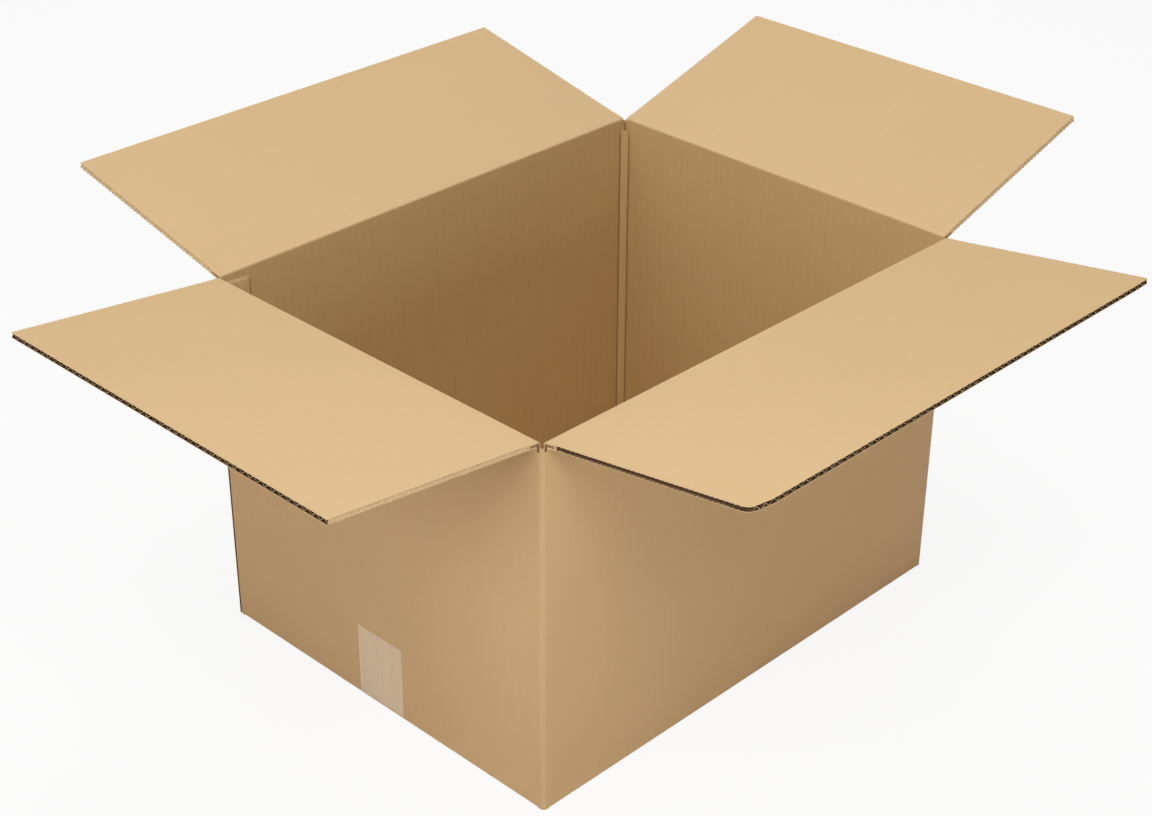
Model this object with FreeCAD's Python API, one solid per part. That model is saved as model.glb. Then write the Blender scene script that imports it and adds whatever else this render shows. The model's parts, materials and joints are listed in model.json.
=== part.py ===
import FreeCAD, Part
import math
import os

# Open shipping carton: one slotted and folded sheet of single-wall corrugated board,
# with its bottom flaps taped shut and its four top flaps standing open.
# Millimetres, +Z up. The origin is on the ground plane under the middle of the box.
# X runs along the long walls, the front wall faces -Y and the left wall faces -X.

Vector = FreeCAD.Vector

# Inside of the closed box
INSIDE_LENGTH = 450.0
INSIDE_WIDTH = 350.0
INSIDE_DEPTH = 293.0

# Board: an inner and an outer liner with a wave of fluting between them
BOARD = 4.0
LINER = 0.45
MEDIUM = 0.35
FLUTE_PITCH = 7.7
FLUTE_CREST = 1.2
FLUTE_CRUSH = 13.0  # from the fold line, how far the score presses the flutes shut

# Vertical folds between the walls
FOLD_RADIUS = 5.5
FOLD_STRIP = 6.0  # how far the pressed strip inside a fold reaches along each wall

# Glued joint at the back left corner
TAB_WIDTH = 29.0
TAB_BOARD = 1.5  # the tab is pressed thin under its glue
TAB_TOP_DROP = 1.6  # from the left fold line down to the tab's root
TAB_SLOPE = 1.6  # how much lower the tab's free end is
TAB_BOTTOM_DROP = 6.0  # above the floor of the box
JOINT_RADIUS = 2.0  # of the left wall where it turns in to the tab

# Slots between the flaps, from each outer wall face to the flap's side
LONG_SLOT = 5.5
SHORT_SLOT = 5.8

# Top folds: the pivot line runs just outside the wall's outer face
PIVOT_OUT = 0.3
ROLL_RADIUS = 1.0  # of the pressed roll of board on the pivot line
ROLL_CLEARANCE = 0.5  # from the roll to the wall's top edge
LIP_WIDTH = 1.0  # level outer part of the wall's top edge
LIP_FALL = 1.0  # how much lower the pressed inner part is
STRIP_CLEARANCE = 0.6  # from a closed short flap down to the strips inside the corners
CLOSED_CLEARANCE = 0.3  # between the closed long and short flaps
SEAM = 0.6  # between the two long flaps when closed
SHORT_SINK = 1.15  # outer face of a short flap below its pivot when closed
LONG_RISE = 1.0  # outer face of a long flap above its pivot when closed
SCORE_OUTER = 6.2  # width of the pressed band on the flap's outer face
SCORE_INNER = 9.0  # width of the pressed band on the flap's inner face
WEB_OUTER = 0.1  # pressed web at the pivot line, towards the outer face
WEB_INNER = 0.8  # and towards the inner face
WEB_CLEARANCE = 0.4  # from the closed flap's web to the wall's pressed top edge
WEB_PAST_WALL = 0.6  # how far past the wall's inner face the thin web goes on

# How far each top flap is folded out from upright
FRONT_OPEN_DEG = 81.3
BACK_OPEN_DEG = 77.6
LEFT_OPEN_DEG = 83.4
RIGHT_OPEN_DEG = 73.4

# Worn corners of the front flap
FRONT_NEAR_CORNER = 12.0
FRONT_FAR_CORNER = 3.5

# Bottom folds and closure
BASE_RADIUS = 3.5
BASE_LIFT = 0.5  # short walls end this far above the ground
BASE_SEAM = 1.0
LAYER_GAP = 0.3  # between the long bottom flaps and the short ones above them
INNER_CREASE = 1.0
SHORT_CREASE = 4.0
EDGE_GAP = 0.7  # from a long bottom flap's end to the fold beside it

# Clear tape along the bottom seam and up both short walls
TAPE_WIDTH = 50.0
TAPE_FILM = 0.1
TAPE_LEG = 66.0

# Facets round a bottom fold, which the tape follows
BASE_FACETS = 4

# Worked out from the sizes above
LENGTH = INSIDE_LENGTH + 2 * BOARD
WIDTH = INSIDE_WIDTH + 2 * BOARD
HALF_LENGTH = LENGTH / 2
HALF_WIDTH = WIDTH / 2
FLOOR_TOP = 2 * BOARD + LAYER_GAP
SHORT_PIVOT = FLOOR_TOP + INSIDE_DEPTH + BOARD + SHORT_SINK
LONG_PIVOT = SHORT_PIVOT - SHORT_SINK + CLOSED_CLEARANCE + BOARD - LONG_RISE
LIP_DROP = ROLL_RADIUS + ROLL_CLEARANCE
STRIP_DROP = SHORT_SINK + BOARD + STRIP_CLEARANCE - LIP_DROP
FLAP_DEPTH = HALF_WIDTH + PIVOT_OUT - SEAM / 2
LONG_HALF = HALF_LENGTH - LONG_SLOT
SHORT_HALF = HALF_WIDTH - SHORT_SLOT


def polygon_face(points):
    """Flat face bounded by straight runs through the points."""
    return Part.Face(Part.makePolygon(points + [points[0]]))


def arc_points(centre, radius, start, end, steps):
    """Points along an arc of a profile, by angle in degrees, ends included."""
    turns = [start + (end - start) * i / steps for i in range(steps + 1)]
    return [
        (
            centre[0] + radius * math.cos(math.radians(turn)),
            centre[1] + radius * math.sin(math.radians(turn)),
        )
        for turn in turns
    ]


def along_x(profile, half):
    """Solid with a (y, z) profile, from -half to half along X."""
    face = polygon_face([Vector(-half, y, z) for y, z in profile])
    return face.extrude(Vector(2 * half, 0, 0))


def along_y(profile, half):
    """Solid with an (x, z) profile, from -half to half along Y."""
    face = polygon_face([Vector(x, -half, z) for x, z in profile])
    return face.extrude(Vector(0, 2 * half, 0))


def mirrored(shape, normal):
    """Copy of the shape on the other side of the middle plane."""
    return shape.mirror(Vector(0, 0, 0), normal)


def fold_arc(corner_x, corner_y, radius, start):
    """Quarter turn round the outside of a vertical fold, starting at an angle in degrees."""
    centre = Vector(
        corner_x - math.copysign(radius, corner_x),
        corner_y - math.copysign(radius, corner_y),
        0,
    )
    points = []
    for turn in (start, start + 45, start + 90):
        angle = math.radians(turn)
        points.append(
            centre + Vector(radius * math.cos(angle), radius * math.sin(angle), 0)
        )
    return Part.Arc(*points).toShape(), points[0], points[2]


def wall_section():
    """Plan section of the four walls: rounded folds outside, pressed strips inside."""
    x, y, r = HALF_LENGTH, HALF_WIDTH, FOLD_RADIUS
    front_left, left_end, front_start = fold_arc(-x, -y, r, 180)
    front_right, front_end, right_start = fold_arc(x, -y, r, 270)
    back_right, right_end, back_start = fold_arc(x, y, r, 0)
    # The back wall's raw end stands square at the glued corner, and the left
    # wall turns in beside it with a small radius.
    turn = y - BOARD
    turn_centre = Vector(-x + JOINT_RADIUS, turn - JOINT_RADIUS, 0)
    turn_middle = turn_centre + Vector(-JOINT_RADIUS, JOINT_RADIUS, 0) * math.sqrt(0.5)
    turn_top = Vector(-x + JOINT_RADIUS, turn, 0)
    turn_side = Vector(-x, turn - JOINT_RADIUS, 0)
    raw_out = Vector(-x, y, 0)
    raw_in = Vector(-x, turn, 0)
    outside = Part.Wire(
        [
            front_left,
            Part.makeLine(front_start, front_end),
            front_right,
            Part.makeLine(right_start, right_end),
            back_right,
            Part.makeLine(back_start, raw_out),
            Part.makeLine(raw_out, raw_in),
            Part.makeLine(raw_in, turn_top),
            Part.Arc(turn_top, turn_middle, turn_side).toShape(),
            Part.makeLine(turn_side, left_end),
        ]
    )
    ix, iy, c = x - BOARD, y - BOARD, FOLD_STRIP
    inside = Part.makePolygon(
        [
            Vector(-ix, -iy + c, 0),
            Vector(-ix + c, -iy, 0),
            Vector(ix - c, -iy, 0),
            Vector(ix, -iy + c, 0),
            Vector(ix, iy - c, 0),
            Vector(ix - c, iy, 0),
            Vector(-ix, iy, 0),
            Vector(-ix, -iy + c, 0),
        ]
    )
    return Part.Face(outside).cut(Part.Face(inside))


def walls():
    """Four walls up to the level of the short walls' top edge."""
    section = wall_section()
    section.translate(Vector(0, 0, BASE_LIFT))
    return section.extrude(Vector(0, 0, SHORT_PIVOT - LIP_DROP - BASE_LIFT))


def long_wall_top():
    """Pressed top edge of the front wall, which stands higher than the short walls."""
    base = SHORT_PIVOT - LIP_DROP
    lip = LONG_PIVOT - LIP_DROP
    outer = -HALF_WIDTH
    profile = [
        (outer, base),
        (outer, lip),
        (outer + LIP_WIDTH, lip),
        (outer + BOARD, lip - LIP_FALL),
        (outer + BOARD, base),
    ]
    return along_x(profile, LONG_HALF)


def short_wall_press():
    """What the score takes off the inner side of the left wall's top edge.

    The strips inside the vertical folds end lower, under the closed flap.
    """
    lip = SHORT_PIVOT - LIP_DROP
    outer = -HALF_LENGTH
    inner = outer + BOARD
    profile = [
        (outer + LIP_WIDTH, lip),
        (outer + LIP_WIDTH, lip + BOARD),
        (inner + FOLD_STRIP, lip + BOARD),
        (inner + FOLD_STRIP, lip - STRIP_DROP),
        (inner, lip - STRIP_DROP),
        (inner, lip - LIP_FALL),
    ]
    return along_y(profile, HALF_WIDTH - BOARD - TAB_BOARD)


def base_fold(edge, bottom):
    """Outer points of a bottom fold, from the wall down to the underside."""
    centre = (edge + BASE_RADIUS, bottom + BASE_RADIUS)
    return arc_points(centre, BASE_RADIUS, 180, 270, BASE_FACETS)


def long_bottom_flap():
    """Bottom flap folded in from the front wall, with the wall's lowest stretch."""
    outer = -HALF_WIDTH
    inner = outer + BOARD
    under_tape = -TAPE_WIDTH / 2
    profile = base_fold(outer, 0) + [
        (under_tape, 0),
        (under_tape, TAPE_FILM),
        (-BASE_SEAM / 2, TAPE_FILM),
        (-BASE_SEAM / 2, BOARD),
        (inner + INNER_CREASE, BOARD),
        (inner, BOARD + INNER_CREASE),
        (inner, FLOOR_TOP + SHORT_CREASE),
        (outer, FLOOR_TOP + SHORT_CREASE),
    ]
    return along_x(profile, LONG_HALF)


def short_bottom_flap():
    """Bottom flap folded in from the left wall, lying on the two long ones."""
    outer = -HALF_LENGTH
    inner = outer + BOARD
    under = BOARD + LAYER_GAP
    profile = base_fold(outer, BASE_LIFT) + [
        (inner, BASE_LIFT),
        (-LONG_HALF - EDGE_GAP, under),
        (outer + FLAP_DEPTH, under),
        (outer + FLAP_DEPTH, FLOOR_TOP),
        (inner + SHORT_CREASE, FLOOR_TOP),
        (inner, FLOOR_TOP + SHORT_CREASE),
        (outer, FLOOR_TOP + SHORT_CREASE),
    ]
    return along_y(profile, SHORT_HALF)


def fold_room():
    """Lowest stretch of the walls between the bottom slots, which the folds replace."""
    height = FLOOR_TOP + SHORT_CREASE
    long_side = Part.makeBox(
        2 * LONG_HALF, BOARD, height, Vector(-LONG_HALF, -HALF_WIDTH, 0)
    )
    short_side = Part.makeBox(
        BOARD, 2 * SHORT_HALF, height, Vector(-HALF_LENGTH, -SHORT_HALF, 0)
    )
    return [
        long_side,
        mirrored(long_side, Vector(0, 1, 0)),
        short_side,
        mirrored(short_side, Vector(1, 0, 0)),
    ]


def glue_tab():
    """Tab of the left wall, glued to the inside of the back wall."""
    face = HALF_WIDTH - BOARD
    root = -HALF_LENGTH + BOARD
    top = SHORT_PIVOT - LIP_DROP - TAB_TOP_DROP
    bottom = FLOOR_TOP + TAB_BOTTOM_DROP
    outline = polygon_face(
        [
            Vector(root, face, bottom),
            Vector(root + TAB_WIDTH, face, bottom + TAB_SLOPE),
            Vector(root + TAB_WIDTH, face, top - TAB_SLOPE),
            Vector(root, face, top),
        ]
    )
    return outline.extrude(Vector(0, -TAB_BOARD, 0))


def carton_body():
    """Walls, taped bottom flaps and glue tab: one folded sheet."""
    body = walls().cut(fold_room())
    press = short_wall_press()
    body = body.cut([press, mirrored(press, Vector(1, 0, 0))])
    front_top = long_wall_top()
    front_flap = long_bottom_flap()
    left_flap = short_bottom_flap()
    body = body.fuse(
        [
            front_top,
            mirrored(front_top, Vector(0, 1, 0)),
            front_flap,
            mirrored(front_flap, Vector(0, 1, 0)),
            left_flap,
            mirrored(left_flap, Vector(1, 0, 0)),
            glue_tab(),
        ]
    )
    return body.removeSplitter()


def bottom_tape():
    """Strip of film over the bottom seam, turned up on both short walls."""
    outer = -HALF_LENGTH
    fold = base_fold(outer, BASE_LIFT)
    wide = arc_points(
        (outer + BASE_RADIUS, BASE_LIFT + BASE_RADIUS),
        BASE_RADIUS + TAPE_FILM,
        180,
        270,
        BASE_FACETS,
    )
    near_side = [(outer - TAPE_FILM, TAPE_LEG)] + wide
    near_side.append((-LONG_HALF, 0))
    far_side = [(outer, TAPE_LEG)] + fold + [(-LONG_HALF, TAPE_FILM)]
    under = near_side + [(-x, z) for x, z in reversed(near_side)]
    over = far_side + [(-x, z) for x, z in reversed(far_side)]
    return along_y(under + list(reversed(over)), TAPE_WIDTH / 2)


def flap_profile(outer_face):
    """Thickness profile (n, s) of a top flap from its pivot line to its free edge.

    n is measured outwards from the pivot and s up the flap while it stands upright.
    outer_face is where the outer liner lies.
    """
    inner_face = outer_face - BOARD
    return [
        (WEB_OUTER, 0),
        (outer_face, SCORE_OUTER),
        (outer_face, FLAP_DEPTH),
        (inner_face, FLAP_DEPTH),
        (inner_face, SCORE_INNER),
        (WEB_CLEARANCE - LIP_DROP - LIP_FALL, PIVOT_OUT + BOARD + WEB_PAST_WALL),
        (-WEB_INNER, 0),
    ]


def flute_channels(outer_face, half):
    """Open channels of the fluting, from the free edge down to the pressed score."""
    core = BOARD - 2 * LINER
    middle = outer_face - BOARD / 2
    rise = core - MEDIUM
    run = FLUTE_PITCH / 2 - FLUTE_CREST
    slope = run / rise
    side = MEDIUM / 2 * math.hypot(1, slope)
    narrow = FLUTE_CREST / 2 + MEDIUM / 2 * slope - side
    wide = FLUTE_CREST / 2 + (core - MEDIUM / 2) * slope - side
    count = int(2 * (half + wide) / FLUTE_PITCH)
    reach = FLAP_DEPTH + BOARD - FLUTE_CRUSH
    channels = []
    for step in range(-count, count + 1):
        centre = step * FLUTE_PITCH / 2
        facing = -1 if step % 2 == 0 else 1
        crest = middle - facing * (core / 2 - MEDIUM)
        liner = middle + facing * core / 2
        face = polygon_face(
            [
                Vector(centre - narrow, crest, FLUTE_CRUSH),
                Vector(centre + narrow, crest, FLUTE_CRUSH),
                Vector(centre + wide, liner, FLUTE_CRUSH),
                Vector(centre - wide, liner, FLUTE_CRUSH),
            ]
        )
        channels.append(face.extrude(Vector(0, 0, reach)))
    return channels


def corner_waste(half, side, radius):
    """What a worn corner lacks beside the free edge; side is -1 or 1 along the fold."""
    deep = 4 * BOARD
    block = Part.makeBox(
        2 * radius,
        deep,
        2 * radius,
        Vector(side * half - radius, -deep / 2, FLAP_DEPTH - radius),
    )
    # The kept quarter lies towards the middle of the flap.
    block.translate(Vector(side * radius, 0, 0))
    round_off = Part.makeCylinder(
        radius,
        deep,
        Vector(side * (half - radius), -deep / 2, FLAP_DEPTH - radius),
        Vector(0, 1, 0),
    )
    inner = Part.makeBox(
        radius,
        deep,
        radius,
        Vector(
            side * (half - radius / 2) - radius / 2, -deep / 2, FLAP_DEPTH - radius
        ),
    )
    return block.fuse(inner).cut(round_off)


def top_flap(half, outer_face, worn_corners=()):
    """Top flap standing upright over its pivot line, with its outer face towards +Y."""
    profile = [Vector(-half, n, s) for n, s in flap_profile(outer_face)]
    panel = polygon_face(profile).extrude(Vector(2 * half, 0, 0))
    roll = Part.makeCylinder(
        ROLL_RADIUS, 2 * half, Vector(-half, 0, 0), Vector(1, 0, 0)
    )
    flap = panel.fuse(roll).removeSplitter()
    waste = [corner_waste(half, side, radius) for side, radius in worn_corners]
    return flap.cut(flute_channels(outer_face, half) + waste)


def opened(flap, angle, turn, pivot):
    """Flap folded out by its angle, turned to face its side and set on its pivot line."""
    flap.rotate(Vector(0, 0, 0), Vector(1, 0, 0), -angle)
    flap.rotate(Vector(0, 0, 0), Vector(0, 0, 1), turn)
    flap.translate(pivot)
    return flap


def top_flaps():
    """The four top flaps in the places where they stand open."""
    long_out = HALF_WIDTH + PIVOT_OUT
    short_out = HALF_LENGTH + PIVOT_OUT
    front = top_flap(
        LONG_HALF, LONG_RISE, [(1, FRONT_NEAR_CORNER), (-1, FRONT_FAR_CORNER)]
    )
    back = top_flap(LONG_HALF, LONG_RISE)
    left = top_flap(SHORT_HALF, -SHORT_SINK)
    right = top_flap(SHORT_HALF, -SHORT_SINK)
    return {
        "flap_front": opened(
            front, FRONT_OPEN_DEG, 180, Vector(0, -long_out, LONG_PIVOT)
        ),
        "flap_back": opened(back, BACK_OPEN_DEG, 0, Vector(0, long_out, LONG_PIVOT)),
        "flap_left": opened(
            left, LEFT_OPEN_DEG, 90, Vector(-short_out, 0, SHORT_PIVOT)
        ),
        "flap_right": opened(
            right, RIGHT_OPEN_DEG, -90, Vector(short_out, 0, SHORT_PIVOT)
        ),
    }


def build():
    """Write one solid for each piece of the carton."""
    pieces = {"carton_body": carton_body(), "bottom_tape": bottom_tape()}
    pieces.update(top_flaps())
    os.makedirs("parts", exist_ok=True)
    for name, shape in pieces.items():
        solids = shape.Solids
        kind = "valid" if shape.isValid() else "NOT VALID"
        print(name, len(solids), "solid", kind, round(shape.Volume / 1000, 1), "cm3")
        solids[0].exportStep(f"parts/{name}.step")
    print("long pivot", round(LONG_PIVOT, 3), "short pivot", round(SHORT_PIVOT, 3))
    print("flap depth", round(FLAP_DEPTH, 3))


build()
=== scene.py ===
import json
import logging
import math
from collections.abc import Callable, Iterator, Sequence
from contextlib import contextmanager
from dataclasses import dataclass
from enum import Enum

import bpy
from mathutils import Matrix, Vector

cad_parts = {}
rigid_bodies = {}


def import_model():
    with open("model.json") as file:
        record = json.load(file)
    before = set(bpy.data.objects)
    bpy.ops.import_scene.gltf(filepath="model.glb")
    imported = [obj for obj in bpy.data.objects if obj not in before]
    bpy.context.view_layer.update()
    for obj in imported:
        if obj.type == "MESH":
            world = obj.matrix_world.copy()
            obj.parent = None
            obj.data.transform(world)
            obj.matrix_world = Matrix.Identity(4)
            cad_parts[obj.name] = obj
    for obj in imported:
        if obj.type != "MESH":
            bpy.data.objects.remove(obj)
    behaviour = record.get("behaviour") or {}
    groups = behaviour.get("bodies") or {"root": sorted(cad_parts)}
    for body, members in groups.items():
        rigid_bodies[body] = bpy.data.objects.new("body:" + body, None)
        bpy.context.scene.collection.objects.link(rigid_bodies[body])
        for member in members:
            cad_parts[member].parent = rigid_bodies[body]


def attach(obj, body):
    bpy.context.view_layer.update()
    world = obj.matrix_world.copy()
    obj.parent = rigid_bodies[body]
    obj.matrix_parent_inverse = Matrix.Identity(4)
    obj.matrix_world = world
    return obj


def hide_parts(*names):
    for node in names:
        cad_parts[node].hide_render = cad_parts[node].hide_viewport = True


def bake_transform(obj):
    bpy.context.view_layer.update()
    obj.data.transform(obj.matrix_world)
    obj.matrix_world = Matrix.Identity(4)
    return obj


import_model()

LOG = logging.getLogger("carton")

Colour = tuple[int, int, int]
Shade = tuple[float, float, float, float]
Pair = tuple[Vector, Vector]
Socket = bpy.types.NodeSocket
Feeds = dict[str | int, Socket | float | Sequence[float]]
Piece = bpy.types.Object
PlaceTest = Callable[[Vector], bool]

MM = 0.001
HAIR = 0.00001
WHITE = (1.0, 1.0, 1.0, 1.0)

# Board and box sizes, in millimetres
BOARD = 4.0
LINER = 0.45
MEDIUM = 0.35
FLUTE_PITCH = 7.7
HALF_LENGTH = 229.0
HALF_WIDTH = 179.0
INNER_LENGTH = HALF_LENGTH - BOARD
INNER_WIDTH = HALF_WIDTH - BOARD
LONG_HALF = 223.5
SHORT_HALF = 173.2
FLAP_DEPTH = 179.0
PIVOT_OUT = 0.3
LONG_PIVOT = 308.6
SHORT_PIVOT = 306.45
LONG_RISE = 1.0
SHORT_SINK = 1.15
WALL_TOP = 304.95
WALL_FOOT = 12.3
POST_FOOT = 0.5
SKIN = 0.03

# The folded corners, by the signs of their X and Y. The fourth one is glued.
FOLDED_CORNERS = ((-1, -1), (1, -1), (1, 1))

# Material slots of the walls; the last one paints the shade in grooves, the joint gap
# and sunk tops
OUTER_X, OUTER_Y, INSIDE_X, INSIDE_Y, EDGE, PAINTED_SHADE = range(6)


class Flutes(Enum):
    """The direction that the flutes follow each other in."""

    ALONG_X = 0
    ALONG_Y = 1


class Side(Enum):
    """The four walls, by the turn about Z that faces a flap outwards over them."""

    FRONT = 180.0
    BACK = 0.0
    LEFT = 90.0
    RIGHT = -90.0

    @property
    def label(self) -> str:
        """What the names of the side's pieces start with."""
        return self.name.lower()

    @property
    def is_long(self) -> bool:
        """Whether the wall is one of the two long ones."""
        return self in (Side.FRONT, Side.BACK)

    @property
    def half(self) -> float:
        """Half of the width of the side's flaps, along the fold."""
        return LONG_HALF if self.is_long else SHORT_HALF

    @property
    def out(self) -> float:
        """How far out the wall's outer face lies."""
        return HALF_WIDTH if self.is_long else HALF_LENGTH

    @property
    def flutes(self) -> Flutes:
        """The direction of the side's flutes."""
        return Flutes.ALONG_X if self.is_long else Flutes.ALONG_Y

    def fold_frame(self, out: float, height: float) -> Matrix:
        """Frame of one of the side's folds: X along it, Y outwards, Z up.

        Args:
            out: how far out the fold lies, in millimetres.
            height: how high it lies.

        Returns:
            The frame.
        """
        turn = Matrix.Rotation(math.radians(self.value), 4, "Z")
        return turn @ Matrix.Translation(mm(0, out, height))


def mm(*place: float) -> Vector:
    """Turn a place in millimetres into metres.

    Args:
        *place: two or three coordinates.

    Returns:
        The vector in metres.
    """
    return Vector(place) * MM


def linear(colour: Colour) -> Shade:
    """Turn a display colour into the scene's linear values.

    Args:
        colour: red, green and blue from 0 to 255.

    Returns:
        Linear red, green, blue and full alpha.
    """
    shares = [value / 255 for value in colour]
    red, green, blue = [
        share / 12.92 if share <= 0.04045 else ((share + 0.055) / 1.055) ** 2.4
        for share in shares
    ]
    return (red, green, blue, 1.0)


def shades(colour: Colour, spread: float) -> tuple[Shade, Shade]:
    """A darker and a lighter shade with the colour halfway between them.

    Args:
        colour: the display colour.
        spread: how far each shade lies from it, as a share.

    Returns:
        The darker and the lighter shade, linear.
    """
    *parts, full = linear(colour)
    dark, light = (
        (*(part * factor for part in parts), full)
        for factor in (1 - spread, 1 + spread)
    )
    return dark, light


# ---- materials


class Recipe:
    """A node tree, with short ways to add and join its nodes."""

    def __init__(
        self,
        owner: bpy.types.Material | bpy.types.World,
        shader: str = "Principled BSDF",
    ) -> None:
        """Take up the nodes of a new material or world.

        Args:
            owner: the material or world.
            shader: the name of its shader node.
        """
        owner.use_nodes = True
        self.owner = owner
        self.nodes = owner.node_tree.nodes
        self.links = owner.node_tree.links
        self.shader = self.nodes[shader]

    def feed(self, node: bpy.types.Node, feeds: Feeds) -> None:
        """Link sockets to a node's inputs, or set the inputs to plain values.

        Args:
            node: the node.
            feeds: what each input takes, by the input's name or number.
        """
        for key, value in feeds.items():
            if isinstance(value, Socket):
                self.links.new(value, node.inputs[key])
            else:
                node.inputs[key].default_value = value

    def add(
        self, kind: str, feeds: Feeds | None = None, **values: str
    ) -> bpy.types.Node:
        """Add a node.

        Args:
            kind: the node's type name.
            feeds: what its inputs take.
            **values: properties of the node.

        Returns:
            The new node.
        """
        node = self.nodes.new(kind)
        for key, value in values.items():
            setattr(node, key, value)
        self.feed(node, feeds or {})
        return node

    def sums(self, operation: str, *values: Socket | float) -> Socket:
        """Work out one number from others.

        Args:
            operation: the Math node's operation.
            *values: sockets or plain numbers.

        Returns:
            The result's socket.
        """
        feeds = dict(enumerate(values))
        return self.add("ShaderNodeMath", feeds, operation=operation).outputs[0]

    def blend(self, share: Socket, low: Shade, high: Shade) -> Socket:
        """Mix two colours.

        Args:
            share: how much of the second colour shows.
            low: the first colour.
            high: the second colour.

        Returns:
            The mixed colour's socket.
        """
        feeds = {0: share, 6: low, 7: high}
        return self.add("ShaderNodeMix", feeds, data_type="RGBA").outputs[2]

    def place(self) -> Socket:
        """Object coordinates."""
        return self.add("ShaderNodeTexCoord").outputs["Object"]

    def noise(self, detail: float, *stretch: float) -> Socket:
        """Noise around a half, by Object coordinates.

        Args:
            detail: how many finer layers it has.
            *stretch: one scale, or those along X, Y and Z, in repeats per metre.

        Returns:
            The noise's socket, from 0 to 1.
        """
        scale = stretch if len(stretch) > 1 else stretch * 3
        feeds = {"Vector": self.place(), "Scale": scale}
        where = self.add("ShaderNodeMapping", feeds).outputs[0]
        feeds = {"Vector": where, "Scale": 1.0, "Detail": detail}
        return self.add("ShaderNodeTexNoise", feeds).outputs[0]

    def seen(self) -> Socket:
        """Whether a ray comes from the camera, off a gloss or through a clear face.

        Returns:
            The socket, 1 for such a ray and 0 for others.
        """
        rays = self.add("ShaderNodeLightPath").outputs
        shows = rays["Is Camera Ray"]
        for name in ("Is Glossy Ray", "Is Transmission Ray"):
            shows = self.sums("MAXIMUM", shows, rays[name])
        return shows

    def surface(
        self, colour: Socket | Shade, roughness: float, specular: float = 0.5
    ) -> None:
        """Set the shader's surface.

        Args:
            colour: its base colour.
            roughness: how matt it is.
            specular: the level of its reflection.
        """
        feeds = {"Base Color": colour, "Roughness": roughness}
        self.feed(self.shader, {**feeds, "Specular IOR Level": specular})

    def bump(self, height: Socket, distance: float) -> None:
        """Give the shader a fine relief.

        Args:
            height: the relief's socket.
            distance: how high it stands where the socket is 1, in metres.
        """
        feeds = {"Strength": 1.0, "Distance": distance, "Height": height}
        bump = self.add("ShaderNodeBump", feeds)
        self.feed(self.shader, {"Normal": bump.outputs[0]})


@dataclass(frozen=True)
class KraftPaper:
    """Brown paper liner, with fibres, specks and the flutes showing through."""

    name: str
    colour: Colour
    flutes: Flutes
    spread: float = 0.3
    mottle: float = 0.05
    streaks: float = 0.12
    specks: float = 0.08
    speck_level: float = 0.69
    washboard: float = 0.008
    relief: float = 0.000012
    roughness: float = 0.82

    def make(self) -> bpy.types.Material:
        """Build the material.

        Returns:
            The material.
        """
        recipe = Recipe(bpy.data.materials.new(self.name))
        sums = recipe.sums
        across = self.flutes.value
        split = recipe.add("ShaderNodeSeparateXYZ", {0: recipe.place()})
        turn = 2 * math.pi / (FLUTE_PITCH * MM)
        wave = sums("SINE", sums("MULTIPLY", split.outputs[across], turn))

        fibre = [1100.0, 1100.0, 1100.0]
        fibre[across] = 130.0
        fibres = recipe.noise(3.0, *fibre)
        cloud = recipe.noise(3.0, 7.0)
        speck = recipe.noise(1.0, 900.0)
        flecks = sums("GREATER_THAN", speck, self.speck_level)

        tone = sums("MULTIPLY_ADD", fibres, self.streaks, 0.5 - self.streaks / 2)
        tone = sums("ADD", tone, sums("MULTIPLY", wave, self.washboard))
        clouds = sums("MULTIPLY_ADD", cloud, 2 * self.mottle, -self.mottle)
        tone = sums("ADD", tone, clouds)
        tone = sums("SUBTRACT", tone, sums("MULTIPLY", flecks, self.specks))
        mixed = recipe.blend(tone, *shades(self.colour, self.spread))
        recipe.surface(mixed, self.roughness, 0.2)

        grain = recipe.noise(2.0, 2300.0)
        height = sums("MULTIPLY", wave, self.relief)
        for pattern, share in ((grain, 0.9), (fibres, 0.8)):
            part = sums("MULTIPLY", pattern, self.relief * share)
            height = sums("ADD", height, part)
        recipe.bump(height, 1.0)
        return recipe.owner


@dataclass(frozen=True)
class CutEdge:
    """Raw cut edge of the paper, fuzzier than its face."""

    name: str
    colour: Colour
    dark: float = 0.8
    light: float = 1.12

    def make(self) -> bpy.types.Material:
        """Build the material.

        Returns:
            The material.
        """
        recipe = Recipe(bpy.data.materials.new(self.name))
        fuzz = recipe.noise(3.0, 1500.0)
        dark, light = (
            linear(tuple(min(255, round(value * factor)) for value in self.colour))
            for factor in (self.dark, self.light)
        )
        spread = recipe.add("ShaderNodeMapRange", {0: fuzz, 1: 0.3, 2: 0.7})
        recipe.surface(recipe.blend(spread.outputs[0], dark, light), 0.95, 0.1)
        recipe.bump(fuzz, 0.00015)
        return recipe.owner


@dataclass(frozen=True)
class ClearTape:
    """Clear packing tape on kraft paper, with a pale haze and streaks of air."""

    name: str
    colour: Colour
    spread: float = 0.22
    streaks: float = 0.5
    bubbles: float = 0.2

    def make(self) -> bpy.types.Material:
        """Build the material.

        Returns:
            The material.
        """
        recipe = Recipe(bpy.data.materials.new(self.name))
        streaks = recipe.noise(3.0, 260.0, 260.0, 12.0)
        bubbles = recipe.noise(2.0, 900.0, 900.0, 120.0)
        tone = recipe.sums(
            "MULTIPLY_ADD", streaks, self.streaks, 0.5 - self.streaks / 2
        )
        bubbles = recipe.sums("MULTIPLY", bubbles, self.bubbles)
        tone = recipe.sums("ADD", tone, bubbles)
        mixed = recipe.blend(tone, *shades(self.colour, self.spread))
        recipe.surface(mixed, 0.32)
        recipe.feed(recipe.shader, {"IOR": 1.48})
        recipe.bump(streaks, 0.0001)
        return recipe.owner


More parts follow.
